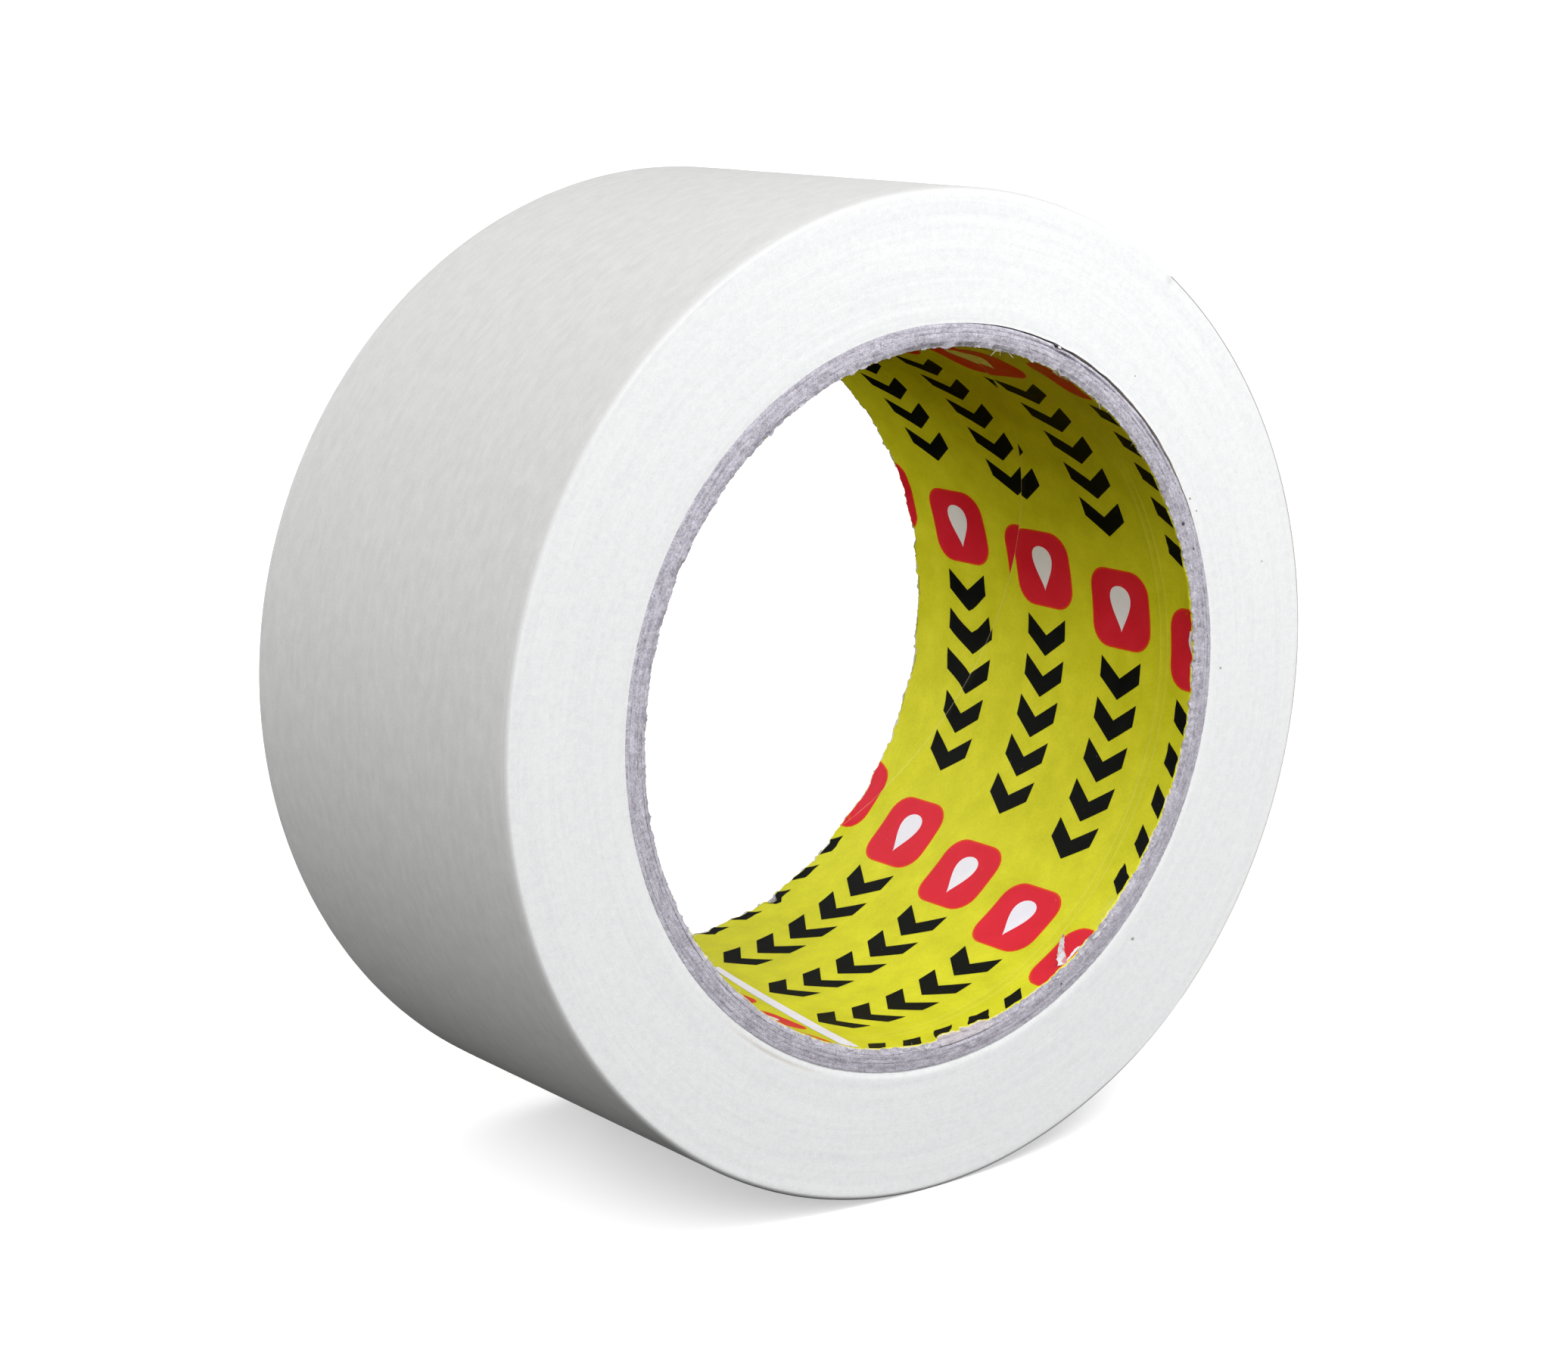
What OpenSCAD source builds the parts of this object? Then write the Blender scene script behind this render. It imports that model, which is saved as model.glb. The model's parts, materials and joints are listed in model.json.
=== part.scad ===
// Masking tape roll on a spiral-wound paperboard core, standing on its rim.
// Millimetres. The roll's axis lies along Y, +Z is up, the origin is the centre of the bore.
// Angles are measured in the XZ plane, from +X towards +Z.

/* [Tape] */
// Width of the tape and of the core, along the roll's axis
tape_width = 50; // [19:1:100]
// Diameter over the outermost turn of tape
tape_outer_diameter = 110; // [90:1:160]
// Thickness of one layer of tape: crepe paper and its adhesive
tape_thickness = 0.13; // [0.1:0.01:0.2]

/* [Core] */
// Diameter of the hole that a dispenser's hub goes into
core_bore_diameter = 76.2; // [75.2:0.1:77.2]
// Thickness of the printed paper that lines the bore
liner_thickness = 0.15; // [0.1:0.01:0.25]
// Thickness of each of the five grey board plies
ply_thickness = 0.46; // [0.3:0.02:0.6]
// Thickness of the glue between one ply and the next
glue_line = 0.02; // [0.01:0.01:0.04]

/* [Start of the tape] */
// Middle of the stretch where the first turn stands off the core, in degrees
start_angle = 48; // [0:1:359]
// Degrees that it stands off the core on each side of that middle
start_reach = 22; // [12:1:40]
// How far it stands off the core at most
start_gap = 0.2; // [0.1:0.05:0.4]

/* [Free end of the tape] */
// Where the tape's free end lies, in degrees
end_angle = 53; // [30:1:70]
// Degrees of the roll that each strip of the free end covers
strip_angle = 10; // [6:0.5:10]
// Space under the free end, where its adhesive holds it to the turn below
end_gap = 0.04; // [0.03:0.01:0.08]

/* [Hidden] */
$fn = 180;
strip_count = 10;
bore_r = core_bore_diameter / 2;
liner_r = bore_r + liner_thickness;
ply_pitch = glue_line + ply_thickness;
core_r = liner_r + 5 * ply_pitch;
tape_in_r = core_r + glue_line;
tape_r = tape_outer_diameter / 2;
start_rise = start_gap * (start_gap + 2 * tape_in_r);
start_offset = start_rise / (2 * tape_in_r * (1 - cos(start_reach)) + 2 * start_gap);
start_r = tape_in_r + start_gap - start_offset;
under_r = tape_r - tape_thickness - end_gap;
root_angle = end_angle - strip_count * strip_angle;
cut = 2;
far = 2 * tape_r;

board_grey = [0.66, 0.63, 0.66];
liner_yellow = [0.86, 0.84, 0.16];
tape_cream = [0.93, 0.90, 0.85];

// A point at radius r and angle a
function polar(r, a) = [r * cos(a), r * sin(a)];

// Turns what is drawn flat, with its thickness along Z, to lie across the roll's axis
module across() {
    rotate([90, 0, 0]) {
        children();
    }
}

// A tube as wide as the tape, drawn flat
module tube(r_in, r_out) {
    difference() {
        cylinder(r = r_out, h = tape_width, center = true);
        cylinder(r = r_in, h = tape_width + cut, center = true);
    }
}

// A wedge from angle a to angle b, less than a half turn, wider than the tape
module wedge(a, b) {
    linear_extrude(height = tape_width + 2 * cut, center = true) {
        polygon([[0, 0], polar(far, a), polar(far, (a + b) / 2), polar(far, b)]);
    }
}

// Everything on one side of the line through the centre at angle a, towards a + 90
module half(a) {
    rotate([0, 0, a]) {
        translate([-far, 0, -tape_width / 2 - cut]) {
            cube([2 * far, far, tape_width + 2 * cut]);
        }
    }
}

// Printed paper that lines the bore
module core_liner() {
    color(liner_yellow) {
        across() {
            tube(bore_r, liner_r);
        }
    }
}

// One grey board ply, counted outwards from the liner
module core_ply(count) {
    r = liner_r + (count - 1) * ply_pitch + glue_line;
    color(board_grey) {
        across() {
            tube(r, r + ply_thickness);
        }
    }
}

module core_ply_1() {
    core_ply(1);
}

module core_ply_2() {
    core_ply(2);
}

module core_ply_3() {
    core_ply(3);
}

module core_ply_4() {
    core_ply(4);
}

module core_ply_5() {
    core_ply(5);
}

// The outer surface is a spiral of two arcs. It drops by one tape thickness at the free end.
module spiral_disc() {
    union() {
        intersection() {
            cylinder(r = tape_r, h = tape_width, center = true);
            half(end_angle + 180);
        }
        intersection() {
            translate(polar(tape_thickness / 2, end_angle + 180)) {
                cylinder(r = tape_r - tape_thickness / 2, h = tape_width, center = true);
            }
            half(end_angle);
        }
    }
}

// Every turn of tape that stays stuck down, on the core
module tape_wound() {
    color(tape_cream) {
        across() {
            difference() {
                spiral_disc();
                cylinder(r = tape_in_r, h = tape_width + cut, center = true);
                // the first turn stands off the core a little, beside the tape's inner end
                translate(polar(start_offset, start_angle)) {
                    cylinder(r = start_r, h = tape_width + cut, center = true);
                }
                // where the free end lies
                intersection() {
                    difference() {
                        cylinder(r = far, h = tape_width + cut, center = true);
                        cylinder(r = under_r, h = tape_width + 2 * cut, center = true);
                    }
                    wedge(root_angle, end_angle);
                }
            }
        }
    }
}

// One strip of the free end, counted from where it leaves the roll
module tape_strip(count) {
    a = root_angle + (count - 1) * strip_angle;
    color(tape_cream) {
        across() {
            intersection() {
                tube(tape_r - tape_thickness, tape_r);
                wedge(a, a + strip_angle);
            }
        }
    }
}

module tape_end_01() {
    tape_strip(1);
}

module tape_end_02() {
    tape_strip(2);
}

module tape_end_03() {
    tape_strip(3);
}

module tape_end_04() {
    tape_strip(4);
}

module tape_end_05() {
    tape_strip(5);
}

module tape_end_06() {
    tape_strip(6);
}

module tape_end_07() {
    tape_strip(7);
}

module tape_end_08() {
    tape_strip(8);
}

module tape_end_09() {
    tape_strip(9);
}

module tape_end_10() {
    tape_strip(10);
}

core_liner();
core_ply_1();
core_ply_2();
core_ply_3();
core_ply_4();
core_ply_5();
tape_wound();
tape_end_01();
tape_end_02();
tape_end_03();
tape_end_04();
tape_end_05();
tape_end_06();
tape_end_07();
tape_end_08();
tape_end_09();
tape_end_10();
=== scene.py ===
"""Looks of the masking tape roll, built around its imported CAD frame.

Lengths are in millimetres, and are multiplied by MM where Blender wants metres. Angles are in degrees about
the roll's axis, which lies along Y, and are measured from +X towards +Z.
"""

import json
import math

import bmesh
import bpy
import numpy as np
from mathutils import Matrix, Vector

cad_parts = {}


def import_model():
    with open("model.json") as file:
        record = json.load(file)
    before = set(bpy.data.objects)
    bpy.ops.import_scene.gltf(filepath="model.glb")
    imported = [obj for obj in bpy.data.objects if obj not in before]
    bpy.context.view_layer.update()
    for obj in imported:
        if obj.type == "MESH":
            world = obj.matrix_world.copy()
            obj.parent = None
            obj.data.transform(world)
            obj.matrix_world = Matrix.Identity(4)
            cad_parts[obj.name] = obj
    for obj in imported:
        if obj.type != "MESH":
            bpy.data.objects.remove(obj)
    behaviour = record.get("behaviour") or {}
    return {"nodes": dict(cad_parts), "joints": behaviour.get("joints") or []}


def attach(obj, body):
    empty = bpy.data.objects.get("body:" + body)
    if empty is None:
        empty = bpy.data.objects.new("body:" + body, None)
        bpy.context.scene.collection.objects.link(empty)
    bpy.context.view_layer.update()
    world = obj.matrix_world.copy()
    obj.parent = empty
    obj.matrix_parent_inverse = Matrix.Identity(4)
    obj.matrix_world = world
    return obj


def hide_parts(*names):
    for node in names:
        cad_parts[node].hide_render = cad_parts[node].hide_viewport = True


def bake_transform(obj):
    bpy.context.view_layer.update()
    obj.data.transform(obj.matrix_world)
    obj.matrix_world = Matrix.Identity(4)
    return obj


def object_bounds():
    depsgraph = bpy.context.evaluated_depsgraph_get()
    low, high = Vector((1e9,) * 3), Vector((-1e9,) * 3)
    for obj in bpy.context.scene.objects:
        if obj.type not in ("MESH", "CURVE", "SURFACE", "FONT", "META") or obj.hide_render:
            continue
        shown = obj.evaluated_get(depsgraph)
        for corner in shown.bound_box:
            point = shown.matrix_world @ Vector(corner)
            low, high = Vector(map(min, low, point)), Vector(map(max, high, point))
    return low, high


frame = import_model()
cad_low, cad_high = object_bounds()

MM = 0.001
FULL = 360.0


# -------- sizes, all from the frame
def node_radii(name):
    """Inner and outer radius of a CAD node about the roll's axis."""
    spots = np.array([v.co for v in frame["nodes"][name].data.vertices]) / MM
    reach = np.hypot(spots[:, 0], spots[:, 2])
    return float(reach.min()), float(reach.max())


PLIES = 5
BORE_R, LINER_R = node_radii("core_liner")
PLY_RADII = [node_radii(f"core_ply_{n}") for n in range(1, PLIES + 1)]
CORE_R = PLY_RADII[-1][1]
TAPE_IN_R = node_radii("tape_wound")[0]
TAIL_IN_R, TAPE_R = node_radii("tape_end_05")
HALF = cad_high.y / MM
HINGES = [math.degrees(math.atan2(j["pos_m"][2], j["pos_m"][0])) for j in frame["joints"]]
STRIP = HINGES[1] - HINGES[0]
ROOT = HINGES[0]
END = HINGES[-1] + STRIP
LAYER = TAPE_R - TAIL_IN_R
END_GAP = 0.04
BELOW_R = TAIL_IN_R - END_GAP

# where the first turn stands off the core, and by how much
START_ANGLE = 53.0
START_REACH = 34.0
START_GAP = 0.2

# the printed liner: marks repeat round the bore and step along it
MARK_ANGLE = 6.2
MARK_TURN = 60.0
MARK_STEP_ANGLE = 4.66
MARK_Y = -12.9
MARK_STEP_Y = 13.1
CHEVRON_ANGLE = -27.7
CHEVRONS = 5
CHEVRON_PITCH = 5.0

PRINT_STEP = 0.7
FILM = 0.008

# the liner's own edge, where it laps over itself along a helix, and two score lines near the front
SEAM_FRONT = 104.9
SEAM_BACK = -48.5
LAP_STEP = 0.085
LAP_SLOPE = 6.0
SCORE_LINES = (-20.5, -19.4)

# where the liner's mesh is cut so that it can follow those: millimetres past the lap, and along y
SEAM_CUTS = (-5.0, -2.5, -0.22, -0.06, 0.0, 0.14, 0.25)
SCORE_CUTS = [line + step for line in SCORE_LINES for step in (-0.3, -0.12, 0, 0.12, 0.3)]

# how far the print past the lap is moved, round the bore and along y. That fades out from the second to the
# first angle here, but comes back between these distances past the lap
PRINT_JUMP = (0.3, 1.55)
JUMP_ANGLES = (-8.0, 5.0)
JUMP_BESIDE = (2.0, 10.0)

# torn edges of the liner: random seed, shortest and longest stretch, and depth of each size of tear
FRONT_TEARS = ((60, 1.4, 4.5, 0.3), (61, 0.7, 1.8, 0.18), (62, 0.3, 0.7, 0.09))
BACK_TEARS = ((63, 1.3, 4.2, 0.6), (68, 0.8, 2.0, 0.2), (64, 0.3, 0.7, 0.14))
PEELED_ANGLE = -83.0
PEELED_DEPTH = 1.1
NOTCH_ANGLE = -67.7
NOTCH_DEPTH = 1.3
TEAR_FADE = 4.5
EDGE_ROUND = 0.11

# cut faces of the plies: how deep each lies at the front, how rough it is, and where it is damaged
PLY_LEVELS = (0.04, 0.02, 0.03, 0.02, 0.03)
PLY_ROUGHNESS = 0.028
BURR_DEPTH = 0.14
CHIP_ANGLE = 66.0
SPLITS = ((61.0, 9.0), (39.0, 7.0))

# specks on the cut faces: angle, distance out from the core or the bore, and size
TAPE_SPECKS = ((313, 2.5, 0.45), (-2, 1.7, 0.3), (12, 9.0, 0.25))
TAPE_SPECKS += ((27, 0.6, 0.3), (24.5, 0.9, 0.25), (50, 2.7, 0.22))
BOARD_SPECKS = ((24, 1.1, 0.55), (19, 1.6, 0.25), (-62, 1.4, 0.3))
STAIN_ANGLE = 236.0
LIP_ANGLE = 262.0

# loose hairs on the core's front edge: angle, spread either way, and number
HAIR_GROUPS = ((119, 2, 8), (252, 2, 8), (273, 10, 34), (303, 7, 22), (24, 2, 5), (60, 25, 26), (200, 80, 30))
HAIR_RADIUS = 0.022
HAIR_RINGS = 7

# flakes there: angle, radius and size of the large ones; angles and number of the small ones
FLAKES = [(119, LINER_R, 0.5), (252, LINER_R, 0.6), (66, CORE_R, 0.45), (-52, LINER_R, 0.8)]
FLAKE_GROUPS = ((262, 284, 9), (296, 311, 7))
FLAKE_SIDES = 7
FLAKE_THICK = 0.05

# the torn shred of liner: angle, length, width and thickness
SHRED_ANGLE = -60.0
SHRED_SIZE = (3.9, 1.15, 0.09)

# the camera: azimuth and elevation of its place and of its aim, distance from the roll, and lens
CAMERA_PLACE = (-37.53, 11.735)
CAMERA_AIM = (-37.308, 11.952)
CAMERA_DISTANCE = 368.17
CAMERA_LENS = 74.68

# suns: name, azimuth, elevation, strength and width; panels: name, place, size and strength
SUNS = (
    ("key", -38, 35, 0.575, 42),
    ("fill", 5, 10, 0.115, 30),
    ("left", -104, 8, 0.465, 30),
    ("right", 100, 8, 0.34, 36),
    ("behind", 178, 8, 0.42, 24),
)
PANELS = (("front", (100, -180, 200), 120, 0.375), ("near", (-70, -140, 170), 100, 0.09))


# -------- small helpers
def waves(seed, count, theta, turns, y=0, across=0):
    """Smooth noise, about -1 to 1, with up to turns waves round the roll and across waves a millimetre
    along y."""
    rng = np.random.default_rng(seed)
    angle = np.radians(theta)
    total = np.zeros(np.broadcast(angle, y).shape)
    for _ in range(count):
        around = rng.integers(-turns, turns + 1)
        along = rng.uniform(-across, across) * 2 * math.pi
        total += np.cos(around * angle + along * y + rng.uniform(0, 2 * math.pi))
    return total * math.sqrt(1 / count)


def bump_at(x, centre, width):
    """A smooth hump of height 1 at centre."""
    return np.exp(-(((x - centre) / width) ** 2))


def turned(a):
    """An angle brought to -180..180."""
    return (np.asarray(a) + FULL / 2) % FULL - FULL / 2


def smooth(x):
    """0 below 0, 1 above 1, and a smooth step between."""
    x = np.clip(x, 0, 1)
    return x * x * (3 - 2 * x)


def ramp(x, low, high):
    return smooth((x - low) / (high - low))


def apart(theta, angle):
    """Degrees between two angles, whichever way is shorter."""
    return np.abs(turned(theta - angle))


def polar(radius, theta, y):
    """Points in millimetres from cylindrical coordinates."""
    angle = np.radians(theta)
    radius, angle, y = np.broadcast_arrays(radius, angle, y)
    return np.stack([radius * np.cos(angle), y, radius * np.sin(angle)], axis=-1)


def random_breaks(rng, theta, shortest, longest, spare):
    """Splits the way round the bore at random. Returns the number of breaks, the stretch that each angle
    lies in, and how far along it, 0 to 1."""
    around = 2 * math.pi * BORE_R
    breaks = np.concatenate([[0], np.cumsum(rng.uniform(shortest, longest, int(spare * around / shortest)))])
    breaks = breaks[: np.searchsorted(breaks, around)]
    breaks = breaks * around / breaks[-1]
    place = np.radians(np.mod(theta, FULL)) * BORE_R
    which = np.clip(np.searchsorted(breaks, place, side="right") - 1, 0, len(breaks) - 2)
    return len(breaks), which, (place - breaks[which]) / (breaks[which + 1] - breaks[which])


def scallops(theta, seed, shortest, longest, depth):
    """Depth of a torn edge: short hollows of random length between sharp points."""
    rng = np.random.default_rng(seed)
    count, which, t = random_breaks(rng, theta, shortest, longest, 1.5)
    depths = rng.uniform(0.35, 1.0, count) * depth
    return depths[which] * 4 * t * (1 - t)


def ledges(theta, seed, shortest, longest, depth):
    """Depth of a torn edge in slanting ledges, with a step from each to the next."""
    rng = np.random.default_rng(seed)
    count, which, t = random_breaks(rng, theta, shortest, longest, 2)
    starts = rng.uniform(0, 1, count) ** 1.5 * depth
    ends = np.clip(starts + rng.uniform(-0.5, 0.5, count) * depth, 0, depth)
    return starts[which] + (ends - starts)[which] * t


def tears(theta, sizes):
    """Depth of a torn edge with long ledges, and two sizes of hollows on them."""
    long, coarse, fine = sizes
    return ledges(theta, *long) + scallops(theta, *coarse) + scallops(theta, *fine)


# -------- mesh building
def linked(name, data):
    """Adds an object to the scene."""
    made = bpy.data.objects.new(name, data)
    bpy.context.scene.collection.objects.link(made)
    return made


def finish_mesh(name, mesh, materials, sharp=40):
    """An object from a closed mesh: shades it, and stores where each point lies at rest."""
    work = bmesh.new()
    work.from_mesh(mesh)
    bmesh.ops.recalc_face_normals(work, faces=work.faces)
    work.to_mesh(mesh)
    work.free()
    mesh.shade_smooth()
    mesh.set_sharp_from_angle(angle=math.radians(sharp))
    spots = np.zeros(len(mesh.vertices) * 3, np.float32)
    mesh.vertices.foreach_get("co", spots)
    mesh.attributes.new("rest_pos", "FLOAT_VECTOR", "POINT").data.foreach_set("vector", spots)
    for material in materials:
        mesh.materials.append(material)
    return linked(name, mesh)


def grid_faces(rows, columns, closed_u=False, closed_v=False):
    """Corner numbers of each quad of a grid of points, as a (rows, columns, 4) array."""
    index = np.arange(rows * columns).reshape(rows, columns)
    if closed_u:
        index = np.vstack([index, index[:1]])
    if closed_v:
        index = np.hstack([index, index[:, :1]])
    corners = [index[:-1, :-1], index[1:, :-1], index[1:, 1:], index[:-1, 1:]]
    return np.stack(corners, axis=-1)


def grid_mesh(name, spots, materials, closed_u=False, parts=0, values=None, sharp=40):
    """An object from a (u, v, 3) grid of points, closed along v. An open u is capped at both ends. parts
    gives the material number of each v, and values named numbers for each point."""
    rows, columns = spots.shape[:2]
    quads = grid_faces(rows, columns, closed_u, closed_v=True)
    numbers = np.broadcast_to(parts, quads.shape[:2]).ravel().tolist()
    faces = quads.reshape(-1, 4).tolist()
    if not closed_u:
        last = (rows - 1) * columns
        faces.append(list(range(columns)))
        faces.append(list(range(last + columns - 1, last - 1, -1)))
        numbers += [numbers[0], numbers[0]]
    mesh = bpy.data.meshes.new(name)
    mesh.from_pydata((spots.reshape(-1, 3) * MM).tolist(), [], faces)
    mesh.polygons.foreach_set("material_index", numbers)
    store_values(mesh, values)
    return finish_mesh(name, mesh, materials, sharp)


def store_values(mesh, values):
    """Stores named numbers on the points of a mesh, for its material to read."""
    for label, numbers in (values or {}).items():
        attribute = mesh.attributes.new(label, "FLOAT", "POINT")
        attribute.data.foreach_set("value", np.asarray(numbers, np.float32).ravel())


# -------- shader building
def srgb(*screen):
    """A colour as a screen shows it, 0 to 255, as the shader wants it."""
    shares = [c / 255 for c in screen]
    return (*[c / 12.92 if c <= 0.04045 else ((c + 0.055) / 1.055) ** 2.4 for c in shares], 1.0)


def add_node(tree, kind, sockets=None, **settings):
    """A new node. sockets gives each input a number, a colour or another node's output."""
    made = tree.nodes.new(kind)
    for key, value in settings.items():
        setattr(made, key, value)
    for key, value in (sockets or {}).items():
        if isinstance(value, bpy.types.NodeSocket):
            tree.links.new(value, made.inputs[key])
        else:
            made.inputs[key].default_value = value
    return made


class Shader:
    """A Principled material with short ways to add the nodes that vary it."""

    def __init__(self, name, roughness, specular):
        self.material = bpy.data.materials.new(name)
        self.material.use_nodes = True
        self.tree = self.material.node_tree
        self.main = self.tree.nodes["Principled BSDF"]
        self.main.inputs["Roughness"].default_value = roughness
        self.main.inputs["Specular IOR Level"].default_value = specular
        self.place = self.node("ShaderNodeAttribute", attribute_name="rest_pos").outputs["Vector"]

    def node(self, kind, sockets=None, **settings):
        return add_node(self.tree, kind, sockets, **settings)

    def value(self, name):
        """A number stored on the mesh's points."""
        return self.node("ShaderNodeAttribute", attribute_name=name).outputs["Fac"]

    def maths(self, operation, a, b=0.0):
        return self.node("ShaderNodeMath", {0: a, 1: b}, operation=operation).outputs[0]

    def vectors(self, operation, *inputs):
        return self.node("ShaderNodeVectorMath", dict(enumerate(inputs)), operation=operation).outputs

    def scaled(self, x, y, z):
        return self.vectors("MULTIPLY", self.place, (x, y, z))[0]

    def radius(self):
        """Distance from the roll's axis, in metres."""
        return self.vectors("LENGTH", self.scaled(1, 0, 1))["Value"]

    def rings(self, around, out):
        """Coordinates for streaks that follow the turns: waves a metre round the roll, and outwards."""
        parts = self.node("ShaderNodeSeparateXYZ", {0: self.place})
        sockets = {
            0: self.maths("MULTIPLY", parts.outputs[0], around),
            1: self.maths("MULTIPLY", parts.outputs[2], around),
            2: self.maths("MULTIPLY", self.radius(), out),
        }
        return self.node("ShaderNodeCombineXYZ", sockets).outputs[0]

    def noise(self, vector, scale, detail=3.0, rough=0.55):
        sockets = {"Vector": vector, "Scale": scale, "Detail": detail, "Roughness": rough}
        return self.node("ShaderNodeTexNoise", sockets).outputs[0]

    def between(self, x, low, high, to_low=0.0, to_high=1.0):
        """x, stretched from low..high to to_low..to_high and held there."""
        sockets = {0: x, 1: low, 2: high, 3: to_low, 4: to_high}
        return self.node("ShaderNodeMapRange", sockets).outputs[0]

    def mix(self, share, a, b):
        """Colour a where share is 0, and colour b where it is 1."""
        return self.node("ShaderNodeMix", {0: share, 6: a, 7: b}, data_type="RGBA").outputs[2]

    def add(self, *weighted):
        """A sum of (socket, weight) pairs."""
        total = None
        for socket, weight in weighted:
            part = self.maths("MULTIPLY", socket, weight)
            total = part if total is None else self.maths("ADD", total, part)
        return total

    def colour(self, socket):
        self.tree.links.new(socket, self.main.inputs["Base Color"])

    def roughness(self, socket, smoothest, roughest):
        varied = self.between(socket, 0.3, 0.7, smoothest, roughest)
        self.tree.links.new(varied, self.main.inputs["Roughness"])

    def bump(self, height, depth):
        """depth is in millimetres."""
        made = self.node("ShaderNodeBump", {"Height": height, "Distance": depth * MM})
        self.tree.links.new(made.outputs[0], self.main.inputs["Normal"])

    def spot(self, theta, radius, size, strength):
        """strength inside a small ragged spot on the faces, 0 outside. Lengths in millimetres."""
        angle = math.radians(theta)
        centre = (radius * math.cos(angle) * MM, 0.0, radius * math.sin(angle) * MM)
        away = self.vectors("DISTANCE", self.scaled(1, 0, 1), centre)["Value"]
        ragged = self.noise(self.place, 3500, 2)
        away = self.add((away, 1.0), (ragged, 0.6 * size * MM))
        return self.between(away, 0.55 * size * MM, 0.95 * size * MM, strength, 0.0)


def crepe_paper():
    """Outside of the tape: matt crepe paper with fine wrinkles across it and faint streaks along it."""
    s = Shader("crepe_paper", roughness=0.8, specular=0.25)
    streaks = s.noise(s.scaled(0.22, 1.0, 0.22), 1300, 3)
    mottle = s.noise(s.scaled(0.6, 1.0, 0.6), 800, 4, 0.6)
    wrinkles = s.noise(s.scaled(1.0, 0.22, 1.0), 2600, 3, 0.6)
    grain = s.noise(s.place, 6000, 2, 0.6)
    tone = s.add((streaks, 0.2), (mottle, 0.35), (grain, 0.45))
    tone = s.between(tone, 0.34, 0.66)
    s.colour(s.mix(tone, srgb(190, 190, 189), srgb(207, 207, 206)))
    s.roughness(grain, 0.62, 0.8)
    s.bump(s.add((wrinkles, 0.45), (grain, 0.45), (mottle, 0.2)), 0.02)
    return s.material


def tape_edge():
    """Cut edges of all the turns: nearly white, with fine rings and a few specks."""
    s = Shader("tape_edge", roughness=0.72, specular=0.3)
    rings = s.noise(s.rings(45, 2600), 1.0, 3, 0.6)
    wide = s.noise(s.rings(25, 420), 1.0, 2)
    grain = s.noise(s.place, 4200, 3, 0.6)
    turns = s.maths("SINE", s.add((s.radius(), 2 * math.pi / (LAYER * MM)), (wide, 9.0)))
    flock = s.noise(s.place, 1500, 3, 0.6)
    tone = s.add((rings, 0.2), (wide, 0.15), (grain, 0.35), (flock, 0.3))
    tone = s.between(tone, 0.38, 0.62)
    base = s.mix(tone, srgb(239, 240, 241), srgb(253, 254, 254))
    base = s.mix(s.value("rim"), base, srgb(190, 190, 189))
    base = s.mix(s.value("stain"), base, srgb(196, 184, 166))
    for theta, out, size in TAPE_SPECKS:
        base = s.mix(s.spot(theta, CORE_R + out, size, 0.75), base, srgb(120, 108, 96))
    smudge = s.spot(END, TAPE_R - 0.5, 1.3, 0.2)
    s.colour(s.mix(smudge, base, srgb(150, 152, 150)))
    s.roughness(grain, 0.62, 0.82)
    s.bump(s.add((rings, 0.6), (turns, 0.1), (grain, 0.6)), 0.016)
    return s.material


def adhesive():
    """Inside of the tape: tacky natural rubber on paper, a little warmer and shinier than the outside."""
    s = Shader("adhesive", roughness=0.38, specular=0.5)
    mottle = s.noise(s.place, 900, 4, 0.6)
    grain = s.noise(s.place, 5000, 2)
    s.colour(s.mix(s.between(mottle, 0.35, 0.65), srgb(222, 215, 196), srgb(236, 230, 213)))
    s.roughness(mottle, 0.3, 0.5)
    s.bump(s.add((mottle, 0.6), (grain, 0.4)), 0.02)
    return s.material


def grey_board():
    """Recycled board, cut through: grey with ply streaks, pale fibres and dark specks, and painted shade that
    darkens it towards the lower right.
    """
    s = Shader("grey_board", roughness=0.9, specular=0.15)
    streaks = s.noise(s.rings(110, 5200), 1.0, 4, 0.65)
    fibre = s.noise(s.rings(420, 2600), 1.0, 3, 0.6)
    grain = s.noise(s.place, 5200, 3, 0.6)
    blotches = s.noise(s.place, 1500, 3, 0.6)
    tone = s.add((streaks, 0.14), (fibre, 0.24), (grain, 0.37), (blotches, 0.25))
    base = s.mix(s.between(tone, 0.39, 0.61), srgb(154, 149, 160), srgb(231, 228, 240))
    pale = s.between(s.noise(s.place, 3800, 2, 0.4), 0.66, 0.74)
    base = s.mix(pale, base, srgb(232, 230, 236))
    dark = s.between(s.noise(s.scaled(1.3, 1.0, 0.8), 1900, 3, 0.5), 0.66, 0.76, 0.0, 0.6)
    base = s.mix(dark, base, srgb(112, 104, 112))
    bare = s.maths("MULTIPLY", s.value("bare"), s.between(grain, 0.35, 0.65, 0.5, 1.0))
    base = s.mix(bare, base, srgb(214, 205, 208))
    # painted shade: the board is darker towards the lower right, as if lit from the upper left
    base = s.mix(s.value("painted_shade"), base, srgb(112, 106, 114))
    for theta, out, size in BOARD_SPECKS:
        base = s.mix(s.spot(theta, BORE_R + out, size, 0.9), base, srgb(38, 34, 40))
    s.colour(base)
    s.bump(s.add((streaks, 0.35), (fibre, 0.5), (grain, 0.8)), 0.05)
    return s.material


def paper_grain(s, smoothest, roughest):
    """The fine unevenness of the liner's paper and ink. Returns its grain, and its tone, 0 to 1."""
    mottle = s.noise(s.place, 260, 4, 0.6)
    grain = s.noise(s.place, 3600, 3, 0.6)
    s.roughness(mottle, smoothest, roughest)
    s.bump(s.add((grain, 0.7), (mottle, 0.5)), 0.02)
    return grain, s.between(s.add((mottle, 0.65), (grain, 0.35)), 0.34, 0.66)


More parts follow.
